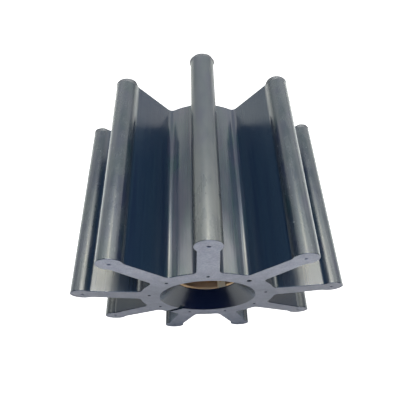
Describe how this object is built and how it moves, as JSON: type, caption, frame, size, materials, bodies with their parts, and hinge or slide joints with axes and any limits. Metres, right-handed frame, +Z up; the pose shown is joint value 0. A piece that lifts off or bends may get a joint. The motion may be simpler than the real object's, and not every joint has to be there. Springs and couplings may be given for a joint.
{
  "type": "rubber pump impeller",
  "caption": "Flexible rubber impeller for a marine raw-water pump, with straight round-tipped blades and a keyed brass bush bonded into its hub",
  "frame": {"origin": "on the shaft's axis, halfway along the impeller", "axes": "+Y along the shaft's axis from the front face with the pits to the back face, +Z up with one blade pointing straight up, as the impeller lies on the tips of two blades"},
  "size_m": [0.1064, 0.081, 0.105],
  "materials": {
    "rubber": "satin dark grey moulded rubber, matte end faces",
    "brass": "machined, dull"
  },
  "bodies": {
    "root": {"impeller_body": "rubber", "shaft_insert": "brass"}
  },
  "joints": []
}
